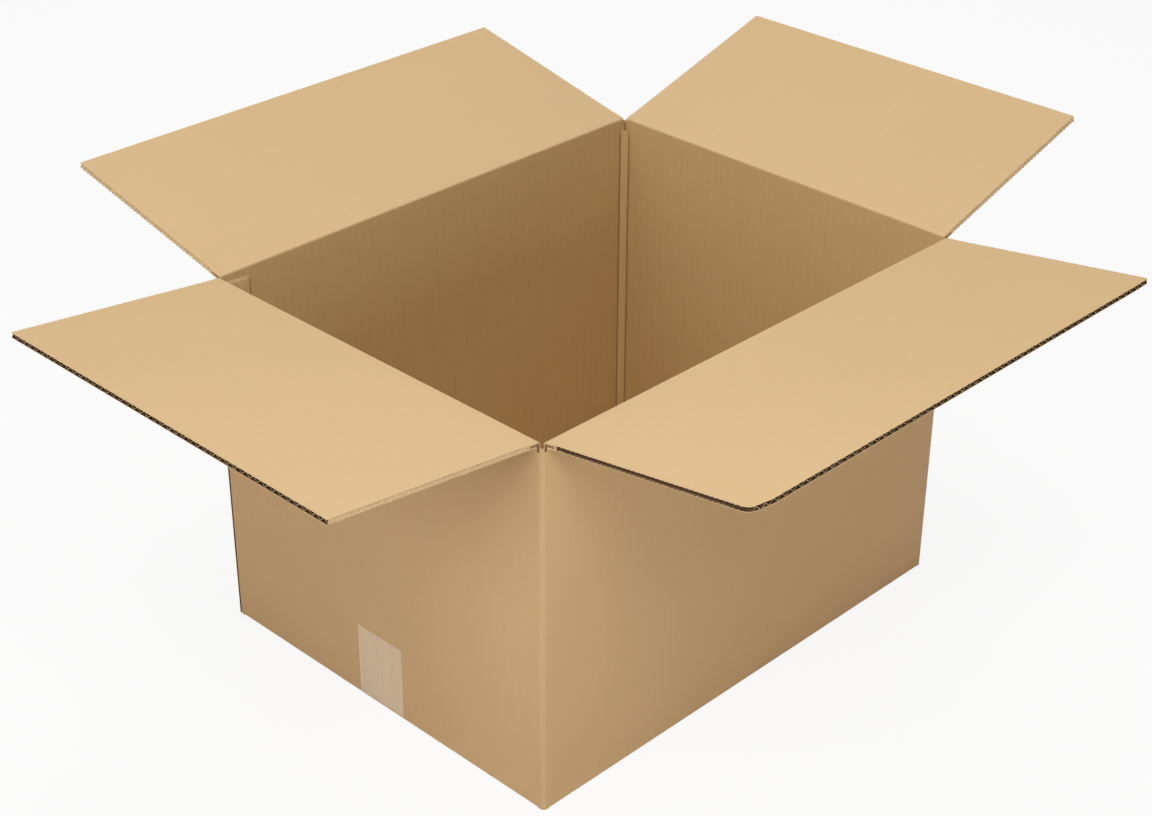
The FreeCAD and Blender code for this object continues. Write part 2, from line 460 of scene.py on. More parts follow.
def papers(
    name: str, colour: Colour, **values: float
) -> dict[Flutes, bpy.types.Material]:
    """Make a paper for each direction of the flutes.

    Args:
        name: what the materials' names start with.
        colour: the display colour.
        **values: settings of the paper that aren't the usual ones.

    Returns:
        The materials, by direction.
    """
    return {
        flutes: KraftPaper(
            f"{name}_{flutes.name.lower()}", colour, flutes, **values
        ).make()
        for flutes in Flutes
    }


class Finishes:
    """All the materials, made once and shared by the pieces."""

    def __init__(self) -> None:
        """Make each finish."""
        self.inner = papers(
            "liner_inner", (217, 185, 138), washboard=0.005, relief=0.00001
        )
        # Painted shade: the inside paper is a darker copy of the inner paper for faces
        # inside the box, with a stronger washboard
        self.inside = papers(
            "liner_inside_shaded", (205, 173, 121), washboard=0.024, relief=0.00003
        )
        self.outer = papers("liner_outer", (208, 173, 127))
        # Painted shade: the fluting is made dark brown to stand for the shade deep in
        # the flutes, darker than its paper
        self.shaded_medium = papers("fluting_painted_shade", (88, 62, 40), washboard=0.0)
        # Painted shade: a darker paper for the grooves, gaps, sunk tops and end hollows
        # where shade falls
        self.crease = CutEdge("painted_crease_shade", (166, 132, 90)).make()
        self.edge = CutEdge("cut_paper_edge", (224, 192, 146)).make()
        self.tape = ClearTape("clear_tape_film", (217, 190, 156)).make()


# ---- modelling by hand


def past(place: Vector, reach: tuple[float, float]) -> bool:
    """Whether a place lies further out than a corner's start along both X and Y.

    Args:
        place: the place, in metres.
        reach: where the corner starts along X and along Y, in millimetres.

    Returns:
        True if it does, at whichever corner.
    """
    return abs(place.x) > reach[0] * MM and abs(place.y) > reach[1] * MM


def clear_selection() -> None:
    """Leave nothing selected."""
    for thing in bpy.context.view_layer.objects:
        thing.select_set(False)


def take(piece: Piece) -> None:
    """Make a piece the only selected and the active one."""
    clear_selection()
    piece.select_set(True)
    bpy.context.view_layer.objects.active = piece


@contextmanager
def editing(
    piece: Piece, wanted: PlaceTest = lambda place: True, faces: bool = False
) -> Iterator[int]:
    """Edit mode, with the points or faces selected whose place is wanted.

    Args:
        piece: the piece to edit.
        wanted: test of a point's or a face centre's place.
        faces: whether faces are picked instead of points.

    Yields:
        How many were picked.
    """
    take(piece)
    mesh = piece.data
    for group in (mesh.vertices, mesh.edges, mesh.polygons):
        group.foreach_set("select", [False] * len(group))
    found = 0
    for part in mesh.polygons if faces else mesh.vertices:
        if wanted(part.center if faces else part.co):
            part.select = True
            found += 1
    bpy.context.tool_settings.mesh_select_mode = (not faces, False, faces)
    bpy.ops.object.mode_set(mode="EDIT")
    yield found
    bpy.ops.object.mode_set(mode="OBJECT")


def extrude(step: Sequence[float]) -> None:
    """Extrude what is selected in edit mode.

    Args:
        step: how far along X, Y and Z, in metres.
    """
    bpy.ops.mesh.extrude_region_move(TRANSFORM_OT_translate={"value": step})


def push(piece: Piece, wanted: PlaceTest, step: Sequence[float]) -> None:
    """Move some of a piece's points.

    Args:
        piece: the piece to edit.
        wanted: test of a point's place.
        step: how far they go along X, Y and Z, in metres.
    """
    with editing(piece, wanted):
        bpy.ops.transform.translate(value=step)


def hollow(
    piece: Piece, wanted: PlaceTest, rim: float, step: Sequence[float]
) -> None:
    """Sink faces within a rim that stays.

    Args:
        piece: the piece to edit.
        wanted: test of a face centre's place.
        rim: the rim's width, in millimetres.
        step: how far the faces go along X, Y and Z, in metres.
    """
    with editing(piece, wanted, faces=True) as found:
        if found:
            bpy.ops.mesh.inset(thickness=rim * MM)
            extrude(step)


def face_out(piece: Piece) -> None:
    """Turn all faces of a piece outwards."""
    with editing(piece):
        bpy.ops.mesh.normals_make_consistent(inside=False)


def weld(piece: Piece, distance: float = HAIR) -> None:
    """Merge points that lie together and turn all faces outwards.

    Args:
        piece: the piece to close.
        distance: how near points are to be merged, in metres.
    """
    with editing(piece):
        bpy.ops.mesh.remove_doubles(threshold=distance)
    face_out(piece)


def grid(name: str, columns: int, rows: int) -> Piece:
    """Flat square grid that a sheet starts from, one metre wide.

    Args:
        name: the sheet's name.
        columns: how many faces it has along X.
        rows: how many it has along Y.

    Returns:
        The grid.
    """
    clear_selection()
    bpy.ops.mesh.primitive_grid_add(
        x_subdivisions=columns, y_subdivisions=rows, size=1
    )
    sheet = bpy.context.active_object
    sheet.name = name
    sheet.data.name = name
    return sheet


def sweep_sheet(
    name: str, path: Sequence[Vector], span: Vector, cuts: int = 1
) -> Piece:
    """Sheet that starts as one row of a grid and is extruded row by row.

    Args:
        name: the piece's name.
        path: points that one border of the sheet follows.
        span: from that border across to the other.
        cuts: how many faces the sheet has across.

    Returns:
        The sheet.
    """
    sheet = grid(name, cuts, 1)
    last_row = [point.co.y > 0 for point in sheet.data.vertices]
    for point, is_last in zip(sheet.data.vertices, last_row):
        base = path[1] if is_last else path[0]
        point.co = base + span * (point.co.x + 0.5)
    # The points are asked about in their order, so each has its own answer.
    answers = iter(last_row)
    with editing(sheet, lambda place: next(answers)):
        for here, there in zip(path[1:], path[2:]):
            extrude(there - here)
    return sheet


def ruled_sheet(name: str, first: Sequence[Vector], second: Sequence[Vector]) -> Piece:
    """Sheet between two lines of points, from a grid with a row for each pair.

    Args:
        name: the piece's name.
        first: points of one line.
        second: points of the other line.

    Returns:
        The sheet.
    """
    rows = len(first) - 1
    sheet = grid(name, 1, rows)
    for point in sheet.data.vertices:
        row = round((point.co.y + 0.5) * rows)
        point.co = second[row] if point.co.x > 0 else first[row]
    return sheet


def join(name: str, pieces: Sequence[Piece]) -> Piece:
    """Join pieces into one.

    Args:
        name: the name of the result.
        pieces: the pieces, of which the first keeps its place.

    Returns:
        The joined piece.
    """
    take(pieces[0])
    for piece in pieces:
        piece.select_set(True)
    bpy.ops.object.join()
    whole = bpy.context.active_object
    whole.name = name
    whole.data.name = name
    return whole


def apply_modifier(piece: Piece, kind: str, **values: object) -> None:
    """Add a modifier and apply it.

    Args:
        piece: the piece to change.
        kind: the modifier's type.
        **values: the modifier's settings.
    """
    take(piece)
    modifier = piece.modifiers.new(kind.lower(), kind)
    for key, value in values.items():
        setattr(modifier, key, value)
    bpy.ops.object.modifier_apply(modifier=modifier.name)


def settle(piece: Piece, place: Matrix) -> None:
    """Put a piece in its place in the box and bake the place into its mesh.

    Args:
        piece: the piece, modelled in its own frame.
        place: where that frame lies.
    """
    take(piece)
    piece.matrix_world = place
    bpy.ops.object.transform_apply(location=True, rotation=True, scale=True)


def soften(piece: Piece, angle: float) -> None:
    """Shade a piece smoothly except over sharp edges.

    Args:
        piece: the piece to shade.
        angle: the least turn of a sharp edge, in degrees.
    """
    take(piece)
    bpy.ops.object.shade_smooth_by_angle(angle=math.radians(angle))


def paint(
    piece: Piece,
    materials: Sequence[bpy.types.Material],
    choose: Callable[[bpy.types.MeshPolygon], int] = lambda face: 0,
) -> None:
    """Give a piece its materials.

    Args:
        piece: the piece to dress.
        materials: its material slots.
        choose: which slot a face takes.
    """
    piece.data.materials.clear()
    for material in materials:
        piece.data.materials.append(material)
    for face in piece.data.polygons:
        face.material_index = choose(face)


def fillet(
    start: Vector, corner: Vector, end: Vector, radius: float, steps: int
) -> list[Vector]:
    """Two straight runs with a rounded corner between them.

    Args:
        start: where the first run starts.
        corner: where the runs would meet.
        end: where the second run ends.
        radius: of the rounding.
        steps: how many straight facets the rounding has.

    Returns:
        The points of the line, ends included.
    """
    into = (corner - start).normalized()
    out = (end - corner).normalized()
    turn = into.angle(out)
    first = corner - into * radius * math.tan(turn / 2)
    inward = (out - into * math.cos(turn)).normalized()
    centre = first + inward * radius
    points = [start]
    for step in range(steps + 1):
        angle = turn * step / steps
        points.append(
            centre - inward * radius * math.cos(angle) + into * radius * math.sin(angle)
        )
    points.append(end)
    return points


def dipped(
    line: list[Vector], facing: int, dip: float = 0.06, ramp: float = 3.0
) -> list[Vector]:
    """Line whose two ends sink a little, so that they leave no step.

    Args:
        line: points of a fold's section, from the wall to the board.
        facing: 1 if the board lies on the right of the line, or -1.
        dip: how far the ends sink, in millimetres.
        ramp: how long each sinking end is.

    Returns:
        The line, with a point added near each end.
    """
    points = list(line)
    for end, inside in ((0, 1), (-1, -2)):
        run = (line[inside] - line[end]).normalized()
        forward = run if end == 0 else -run
        aside = Vector((forward.y, -forward.x)) * facing
        points[end] = line[end] + aside * dip
        points.insert(1 if end == 0 else len(points) - 1, line[end] + run * ramp)
    return points


# ---- the box


@dataclass
class FlutedBoard:
    """Flat corrugated board of a flap: two liners with the wavy medium between.

    It is modelled upright over its fold line: X along the fold, Y outwards, Z up
    to the free edge.
    """

    name: str
    side: Side
    outer_face: float
    start: float
    depth: float
    corners: tuple[tuple[int, float], ...] = ()
    pinched: tuple[int, ...] = (-1, 1)
    inside: bool = False
    rows: int = 8
    tooth: float = 0.9
    pitch: float = 2.1
    recess: float = 0.9
    crest: float = 0.12
    medium_short: float = 0.3
    seam_hollow: float = 0.5
    seam_inset: float = 0.35
    seam_foot: float = 0.5
    seam_top: float = 0.9

    def make(self, finishes: Finishes, place: Matrix) -> Piece:
        """Build the board and settle it in the box.

        Args:
            finishes: the shared materials.
            place: where the upright frame lies.

        Returns:
            The board, as one piece.
        """
        flutes = self.side.flutes
        shaded_medium = finishes.shaded_medium[flutes]
        # A board inside the box takes the darker inside paper, as painted shade
        faced = finishes.inside if self.inside else finishes.inner
        sheets = [
            self._liner("inner", self.outer_face - BOARD, 1),
            self._liner("outer", self.outer_face, -1),
        ]
        # The liner faces that look into the flutes take the fluting's painted shade
        for liner, paper in zip(sheets, (faced[flutes], finishes.outer[flutes])):
            paint(liner, [paper, finishes.edge, shaded_medium])
            apply_modifier(
                liner,
                "SOLIDIFY",
                thickness=LINER * MM,
                offset=-1.0,
                material_offset=2,
                material_offset_rim=1,
            )
        wave = self._medium()
        # The medium itself takes the fluting's painted shade
        paint(wave, [shaded_medium, finishes.edge])
        apply_modifier(
            wave, "SOLIDIFY", thickness=MEDIUM * MM, offset=0.0, material_offset_rim=1
        )
        soften(wave, 50.0)
        seams = [self._seam(end) for end in self.pinched]
        for seam in seams:
            paint(seam, [finishes.edge])
        board = join(self.name, [*sheets, wave, *seams])
        settle(board, place)
        return board

    def _liner(self, which: str, level: float, facing: int) -> Piece:
        """One liner as a flat sheet with saw-toothed side edges.

        Args:
            which: the liner's name.
            level: how far out its face lies.
            facing: 1 if the board lies outwards of it, or -1.

        Returns:
            The sheet, with no thickness yet.
        """
        half = self.side.half
        steps = int((self.depth - self.start) / self.pitch)
        rise = (self.depth - self.start) / steps
        path = [mm(-half, level, self.start + rise * row) for row in range(steps + 1)]
        sheet = sweep_sheet(f"{self.name}_{which}", path, mm(2 * half, 0, 0), 24)
        edge = half * MM * 0.9999

        def odd(place: Vector) -> bool:
            """Whether a point is in an odd row."""
            return round((place.z / MM - self.start) / rise) % 2 == 1

        for end in (-1, 1):
            push(
                sheet,
                lambda place: place.x * end > edge and odd(place),
                (-end * self.tooth * MM, 0, 0),
            )
        self._round_corners(sheet)
        # Faces of the inner liner look inwards and those of the outer one outwards.
        face_out(sheet)
        if (sheet.data.polygons[0].normal.y > 0) == (facing > 0):
            sheet.data.flip_normals()
        return sheet

    def _medium(self) -> Piece:
        """The wavy medium, one flute arrayed along the fold and drawn up in rows."""
        half = self.side.half
        middle = self.outer_face - BOARD / 2
        swing = (BOARD - 2 * LINER - MEDIUM) / 2
        steps = 10
        low = self.start + self.medium_short
        path = []
        for step in range(steps + 1):
            share = step / steps
            angle = 2 * math.pi * share
            wave = math.cos(angle) + self.crest * math.cos(3 * angle)
            out = middle + swing * wave / (1 + self.crest)
            path.append(mm(-half + FLUTE_PITCH * (share - 1), out, low))
        rise = (self.depth - 2 * self.medium_short - low) / self.rows * MM
        sheet = sweep_sheet(f"{self.name}_medium", path, Vector((0, 0, rise)))
        apply_modifier(
            sheet,
            "ARRAY",
            count=int(2 * half / FLUTE_PITCH) + 3,
            use_relative_offset=False,
            use_constant_offset=True,
            constant_offset_displace=(FLUTE_PITCH * MM, 0, 0),
            use_merge_vertices=True,
            merge_threshold=2 * HAIR,
        )
        top = low * MM + rise
        with editing(sheet, lambda place: place.z > top - HAIR):
            for _ in range(self.rows - 1):
                extrude((0, 0, rise))
        reach = (half - self.recess) * MM
        for end in (-1, 1):
            cut, facing = (end * reach, 0, 0), (end, 0, 0)
            with editing(sheet):
                bpy.ops.mesh.bisect(plane_co=cut, plane_no=facing, clear_outer=True)
        self._round_corners(sheet)
        return sheet

    def _seam(self, end: int) -> Piece:
        """Side edge where the knife pressed the liners together over the flute.

        Args:
            end: -1 or 1, the side edge along the fold.

        Returns:
            The edge, hollow along its middle.
        """
        out = end * (self.side.half - self.tooth * self.seam_inset)
        low, top = self.start + self.seam_foot, self.depth - self.seam_top
        heights = (low, self.depth / 2, top)
        path = [mm(out, self.outer_face - LINER / 2, height) for height in heights]
        seam = sweep_sheet(f"{self.name}_seam", path, mm(0, LINER - BOARD, 0), 6)
        middle = (self.outer_face - BOARD / 2) * MM
        for point in seam.data.vertices:
            share = min(1.0, abs(point.co.y - middle) / (BOARD / 2 * MM))
            point.co.x -= end * (1 - share) * self.seam_hollow * MM
        self._round_corners(seam)
        return seam

    def _round_corners(self, sheet: Piece) -> None:
        """Draw worn corners in to their rounding.

        Args:
            sheet: a liner or the medium, in the upright frame.
        """
        for end, radius in self.corners:
            centre = mm(end * (self.side.half - radius), self.depth - radius)
            for point in sheet.data.vertices:
                away = Vector((point.co.x, point.co.z)) - centre
                if away.x * end <= 0 or away.y <= 0 or away.length <= radius * MM:
                    continue
                away = away.normalized() * radius * MM
                point.co.x = centre.x + away.x
                point.co.z = centre.y + away.y


@dataclass
class FoldStrip:
    """Pressed board of a fold, from the wall over the crease to the flat board."""

    name: str
    side: Side
    inner: list[Vector]
    outer: list[Vector]
    inside: bool = False
    extra: float = 0.0
    rim: float = 1.2
    depth: float = 0.5

    def make(self, finishes: Finishes, place: Matrix) -> Piece:
        """Build the strip and settle it in the box.

        Args:
            finishes: the shared materials.
            place: where its frame lies, with X along the fold, Y outwards and Z up.

        Returns:
            The strip, with the crushed flute open at its ends and painted shade in the
            openings.
        """
        flutes = self.side.flutes
        half = self.side.half + self.extra
        across = mm(2 * half, 0, 0)
        sheets = []
        for label, line in (("inner", self.inner), ("outer", self.outer)):
            path = [mm(-half, point.x, point.y) for point in line]
            sheets.append(sweep_sheet(f"{self.name}_{label}", path, across))
        # The inner liner has the flaps' paper, and where it lies on a wall the walls'
        # darker copy of it, which paints the shade inside the box.
        paint(
            sheets[0],
            [finishes.inner[flutes], finishes.inside[flutes]],
            lambda face: 1 if self.inside or abs(face.normal.y) > 0.8 else 0,
        )
        paint(sheets[1], [finishes.outer[flutes]])
        # Short runs close the section at the wall and at the board.
        for index in (0, -1):
            here, there = self.inner[index], self.outer[index]
            run = (here, (here + there) / 2, there)
            path = [mm(-half, point.x, point.y) for point in run]
            closing = sweep_sheet(f"{self.name}_end", path, across)
            paint(closing, [finishes.edge])
            sheets.append(closing)
        strip = join(self.name, sheets)
        weld(strip)
        # The hollows at the ends take the painted shade of the crease paper
        strip.data.materials.append(finishes.crease)
        edge, dark = len(strip.data.materials) - 2, len(strip.data.materials) - 1
        tip = half * MM - HAIR
        for end in (-1, 1):
            with editing(strip, lambda place: place.x * end > tip):
                bpy.ops.mesh.edge_face_add()
        weld(strip)
        for end in (-1, 1):
            step = (-end * self.depth * MM, 0, 0)
            hollow(strip, lambda place: place.x * end > tip, self.rim, step)
        for face in strip.data.polygons:
            out = abs(face.center.x)
            if out > tip:
                face.material_index = edge
            elif out > tip - (self.depth + 0.1) * MM:
                face.material_index = dark
        soften(strip, 35.0)
        settle(strip, place)
        return strip


@dataclass
class TopFlap:
    """One of the four top flaps, standing open, with its fold strip."""

    side: Side
    angle: float
    body: str
    corners: tuple[tuple[int, float], ...] = ()
    pinched: tuple[int, ...] = (-1, 1)
    inner_radius: float = 2.2
    outer_radius: float = 0.9
    board_start: float = 7.0
    board_overlap: float = 2.5
    wall_reach: float = 12.0

    def make(self, finishes: Finishes) -> None:
        """Build the flap's board and fold strip, and hang the board on its body.

        Args:
            finishes: the shared materials.
        """
        name = self.side.label
        # How far outside the pivot the outer liner lies when upright
        face = LONG_RISE if self.side.is_long else -SHORT_SINK
        pivot = LONG_PIVOT if self.side.is_long else SHORT_PIVOT
        hinge = self.side.fold_frame(self.side.out + PIVOT_OUT, pivot)
        tilt = Matrix.Rotation(-math.radians(self.angle), 4, "X")
        board = FlutedBoard(
            f"{name}_flap_board",
            self.side,
            face,
            self.board_start - self.board_overlap,
            FLAP_DEPTH,
            corners=self.corners,
            pinched=self.pinched,
        ).make(finishes, hinge @ tilt)
        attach(board, self.body)
        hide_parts(f"flap_{name}")

        inner = self._line(face - BOARD - SKIN, -PIVOT_OUT - BOARD - SKIN)
        outer = self._line(face + SKIN, -PIVOT_OUT + SKIN)
        strip = FoldStrip(
            f"{name}_fold",
            self.side,
            dipped(fillet(*inner, self.inner_radius, 12), 1),
            dipped(fillet(*outer, self.outer_radius, 8), -1),
        ).make(finishes, hinge)
        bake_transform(strip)
        LOG.info("%s flap: board and fold", name)

    def _line(self, level: float, wall: float) -> tuple[Vector, Vector, Vector]:
        """Wall and flap lines of one liner, seen along the fold.

        Args:
            level: how far out the liner lies on the upright flap.
            wall: how far out it lies on the wall.

        Returns:
            Its start on the wall, the corner between wall and flap, and its end.
        """
        turn = math.radians(self.angle)
        sine, cosine = math.sin(turn), math.cos(turn)

        def along(height: float) -> Vector:
            """Place of a point at a height on the upright flap, once tilted."""
            return Vector(
                (height * sine + level * cosine, height * cosine - level * sine)
            )

        corner = along((wall - level * cosine) / sine)
        return Vector((wall, -self.wall_reach)), corner, along(self.board_start)


@dataclass
class BottomFlap:
    """One of the four bottom flaps, folded in and taped shut."""

    side: Side
    lift: float
    crease: float
    drop: float = 0.0
    fold_radius: float = 1.3
    shelf: float = -5.2
    board_start: float = 12.0
    board_overlap: float = 2.5
    wall_reach: float = 12.5
    gap: float = 0.8
    past_board: float = 1.8

    def make(self, finishes: Finishes) -> None:
        """Build the flap's board and fold and fix them to the box.

        Args:
            finishes: the shared materials.
        """
        name, long_side = self.side.label, self.side.is_long
        foot = self.side.fold_frame(self.side.out, self.lift)
        # The upright frame laid inwards: its outer face looks down.
        half_turn = Matrix.Rotation(math.radians(180), 4, "Z")
        lay = half_turn @ Matrix.Rotation(math.radians(-90), 4, "X")
        # Its board and fold take the darker inside paper, as painted shade within the
        # box
        board = FlutedBoard(
            f"{name}_bottom_board",
            self.side,
            0.0,
            self.board_start - self.board_overlap,
            FLAP_DEPTH - (self.gap if long_side else 0.0),
            inside=True,
            rows=1,
        ).make(finishes, foot @ lay)
        reach, inner_face = -self.board_start, BOARD + SKIN
        low = -0.01
        inner = fillet(
            Vector((-inner_face, self.wall_reach)),
            Vector((-inner_face, inner_face)),
            Vector((reach, inner_face)),
            self.crease,
            6,
        )
        outer = fillet(
            Vector((SKIN, self.wall_reach)),
            Vector((SKIN, low - self.drop)),
            Vector((self.shelf, low - self.drop)),
            self.fold_radius,
            8,
        )
        if self.drop:
            outer.append(Vector((self.shelf, low)))
        outer.append(Vector((reach, low)))
        strip = FoldStrip(
            f"{name}_bottom_fold",
            self.side,
            inner,
            outer,
            inside=True,
            extra=self.past_board if long_side else 0.0,
        ).make(finishes, foot)
        for piece in (board, strip):
            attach(piece, "carton")
        LOG.info("%s bottom flap: board and fold", name)


@dataclass
class Walls:
    """The four walls with their vertical folds, as one closed ring of board."""

    fold_radius: float = 3.8
    strip: float = 5.6
    groove: float = 0.6
    hole_zone: float = 7.0
    hole_rim: float = 0.55
    hole_depth: float = 9.0
    hole_apart: float = 0.8
    strip_margin: float = 1.3
    strip_slack: float = 2.7
    strip_drop: float = 4.3
    post_from: tuple[float, float] = (LONG_HALF + 3.3, SHORT_HALF + 3.6)
    post_rise: float = 1.6
    foot_from: tuple[float, float] = (LONG_HALF - 8.0, SHORT_HALF - 8.0)
    ring_middle: float = 2.2
    ring_rise: float = 0.5
    ring_radius: float = 1.8
    ring_rim: float = 0.75
    ring_length: float = 7.0
    ring_hole: float = 5.0

    def _corner_pairs(self, x_side: int, y_side: int) -> list[Pair]:
        """Outer and inner points round a folded corner, from its X side on.

        Args:
            x_side: -1 for the left walls' corner, 1 for the right.
            y_side: -1 for the front, 1 for the back.

        Returns:
            Pairs of an outer and an inner point.
        """
        reach = self.fold_radius
        centre = Vector((HALF_LENGTH - reach, HALF_WIDTH - reach))
        ix, iy, c, g = INNER_LENGTH, INNER_WIDTH, self.strip, self.groove
        # Inside, the crease shows as a flat strip between two grooves.
        inner = (
            (ix, iy - c - 2.2),
            (ix, iy - c - 0.9),
            (ix + g, iy - c - 0.2),
            (ix - 0.5, iy - c + 0.7),
            (ix - c / 2, iy - c / 2),
            (ix - c + 1.85, iy - 1.85),
            (ix - c + 1.75, iy - 1.75),
            (ix - c + 0.7, iy - 0.5),
            (ix - c - 0.2, iy + g),
            (ix - c - 0.9, iy),
            (ix - c - 2.2, iy),
        )
        pairs = [((HALF_LENGTH, SHORT_HALF), (ix, SHORT_HALF - 8.5))]
        for step, point in enumerate(inner):
            angle = math.radians(90 * step / (len(inner) - 1))
            facing = Vector((math.cos(angle), math.sin(angle)))
            pairs.append((centre + facing * reach, point))
        pairs.append(((LONG_HALF, HALF_WIDTH), (LONG_HALF - 8.5, iy)))
        return [
            tuple(Vector((x * x_side, y * y_side)) for x, y in pair) for pair in pairs
        ]

    def _joint_pairs(self) -> list[Pair]:
        """Outer and inner points of the glued corner, from its Y side to its X side."""
        x, y = -HALF_LENGTH, HALF_WIDTH
        ix, iy = -INNER_LENGTH, INNER_WIDTH
        outer = (
            (-LONG_HALF, y),
            (x, y),
            (x, y - LINER),
            (x + 2.4, y - LINER),
            (x + 1.6, y - 1.2),
            (x + 2.4, iy + 2.0),
            (x, iy + 2.0),
            (x, iy + 1.5),
            (x, iy + 0.5),
            (x, iy - 0.6),
            (x, iy - 2.0),
        )
        inner = (
            *((ix + 10 - step, iy) for step in range(7)),
            (ix + 0.8, iy),
            (ix, iy - 0.6),
            (ix, iy - 1.6),
            (ix, iy - 2.6),
        )
        return [(Vector(out), Vector(inside)) for out, inside in zip(outer, inner)]

    def _pairs(self) -> list[Pair]:
        """All the pairs of points round the plan, by the left wall to the back."""
        left, back, right, front = (
            (
                Vector((x * HALF_LENGTH, y * HALF_WIDTH)),
                Vector((x * INNER_LENGTH, y * INNER_WIDTH)),
            )
            for x, y in ((-1, 0), (0, 1), (1, 0), (0, -1))
        )
        return [
            *reversed(self._corner_pairs(-1, -1)),
            left,
            *reversed(self._joint_pairs()),
            back,
            *reversed(self._corner_pairs(1, 1)),
            right,
            *self._corner_pairs(1, -1),
            front,
        ]

    def make(self, finishes: Finishes) -> None:
        """Build the ring of walls, its corner posts and their open flutes.

        Args:
            finishes: the shared materials.
        """
        pairs = self._pairs()
        pairs.append(pairs[0])
        low, top = (
            [[mm(*pair[index], level) for pair in pairs] for index in (0, 1)]
            for level in (WALL_FOOT, WALL_TOP)
        )
        height = Vector((0, 0, (WALL_TOP - WALL_FOOT) * MM))
        sheets = [
            sweep_sheet("outer_wall", low[0], height, 6),
            sweep_sheet("inner_wall", low[1], height, 6),
            ruled_sheet("wall_rim", *low),
            ruled_sheet("wall_rim", *top),
        ]
        walls = join("walls", sheets)
        weld(walls)
        self._open_corners(walls)
        self._press_strips(walls)
        walls = self._ring_posts(walls)
        self._draw_posts(walls)
        self._dress(walls, finishes)
        soften(walls, 30.0)
        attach(walls, "carton")
        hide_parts("carton_body")
        LOG.info("walls: %d faces", len(walls.data.polygons))

    def _open_corners(self, walls: Piece) -> None:
        """Sink the flutes that the corner slots cut open.

        Args:
            walls: the ring of walls.
        """
        for x_side, y_side in FOLDED_CORNERS:
            for near_x in (False, True):

                def wanted(place: Vector) -> bool:
                    """Whether a face is on one side of this corner's top."""
                    if abs(place.z - WALL_TOP * MM) > HAIR:
                        return False
                    x = place.x * x_side / MM - (HALF_LENGTH - self.hole_zone)
                    y = place.y * y_side / MM - (HALF_WIDTH - self.hole_zone)
                    if x < -1.0 or y < -1.0:
                        return False
                    return (x - y if near_x else y - x) > self.hole_apart

                hollow(walls, wanted, self.hole_rim, (0, 0, -self.hole_depth * MM))

    def _press_strips(self, walls: Piece) -> None:
        """Press the corner strips down, clear of the short flaps when they close.

        Args:
            walls: the ring of walls.
        """
        margin = self.strip_margin
        within = INNER_LENGTH + margin, INNER_WIDTH + margin
        # The strip lies past this diagonal across the corner.
        beyond = within[0] + within[1] - self.strip - self.strip_slack

        def wanted(place: Vector) -> bool:
            """Whether a point is on top of a corner strip."""
            x, y = abs(place.x) / MM, abs(place.y) / MM
            joint = place.x < 0 < place.y
            if joint or place.z <= (WALL_TOP - 0.01) * MM:
                return False
            return x < within[0] and y < SHORT_HALF and x + y > beyond

        push(walls, wanted, (0, 0, -self.strip_drop * MM))

    def _ring_posts(self, walls: Piece) -> Piece:
        """Raise the posts between the flaps and ring the flute that shows in each.

        Args:
            walls: the ring of walls.

        Returns:
            The walls with the rings joined on.
        """
        push(
            walls,
            lambda place: place.z > (WALL_TOP - 0.01) * MM
            and past(place, self.post_from),
            (0, 0, self.post_rise * MM),
        )
        top = WALL_TOP + self.post_rise + self.ring_rise
        rings = []
        for x_side, y_side in FOLDED_CORNERS:
            clear_selection()
            bpy.ops.mesh.primitive_cylinder_add(
                vertices=16,
                radius=self.ring_radius * MM,
                depth=self.ring_length * MM,
                location=mm(
                    (HALF_LENGTH - self.ring_middle) * x_side,
                    (HALF_WIDTH - self.ring_middle) * y_side,
                    top - self.ring_length / 2,
                ),
            )
            ring = bpy.context.active_object
            bpy.ops.object.transform_apply(location=True)
            hollow(
                ring,
                lambda place: place.z > (top - 0.01) * MM,
                self.ring_rim,
                (0, 0, -self.ring_hole * MM),
            )
            rings.append(ring)
        return join("walls", [walls, *rings])

    def _draw_posts(self, walls: Piece) -> None:
        """Draw the corner posts down between the bottom slots.

        Args:
            walls: the ring of walls.
        """

        def wanted(place: Vector) -> bool:
            """Whether a face is at the foot of a corner."""
            return abs(place.z - WALL_FOOT * MM) < HAIR and past(place, self.foot_from)

        with editing(walls, wanted, faces=True):
            extrude((0, 0, (POST_FOOT - WALL_FOOT) * MM))
        face_out(walls)

    def _dress(self, walls: Piece, finishes: Finishes) -> None:
        """Give each face of the walls the liner of its side, the raw edge, or painted
        shade.

        Args:
            walls: the ring of walls.
            finishes: the shared materials.
        """

        def choose(face: bpy.types.MeshPolygon) -> int:
            """The slot of a face, by its normal and its place."""
            place, normal = face.center / MM, face.normal
            # Sunk tops, in the flute holes and on the pressed strips, take painted
            # shade; the others show the raw edge
            if abs(normal.z) > 0.7:
                sunk = WALL_TOP / 2 < place.z < WALL_TOP - 1.0
                return PAINTED_SHADE if sunk else EDGE
            # The gap between the cut end of the back wall and the left wall takes
            # painted shade
            joint = place.x < -HALF_LENGTH + 2.9
            if joint and INNER_WIDTH + 1.9 < place.y < HALF_WIDTH - 0.1:
                return PAINTED_SHADE
            # How far the face lies beyond the inner faces of the walls
            deep = max(abs(place.x) - INNER_LENGTH, abs(place.y) - INNER_WIDTH)
            # Faces in the inside grooves take painted shade
            if 0.0 < deep < self.groove - 0.1:
                return PAINTED_SHADE
            # Inside faces take the darker inside paper, which paints the shade within
            # the box
            inside = deep < self.groove + 0.3
            slots = (INSIDE_X, INSIDE_Y) if inside else (OUTER_X, OUTER_Y)
            return slots[0] if abs(normal.y) > abs(normal.x) else slots[1]

        liners = [
            liner[flutes]
            for liner in (finishes.outer, finishes.inside)
            for flutes in (Flutes.ALONG_X, Flutes.ALONG_Y)
        ]
        paint(walls, [*liners, finishes.edge, finishes.crease], choose)


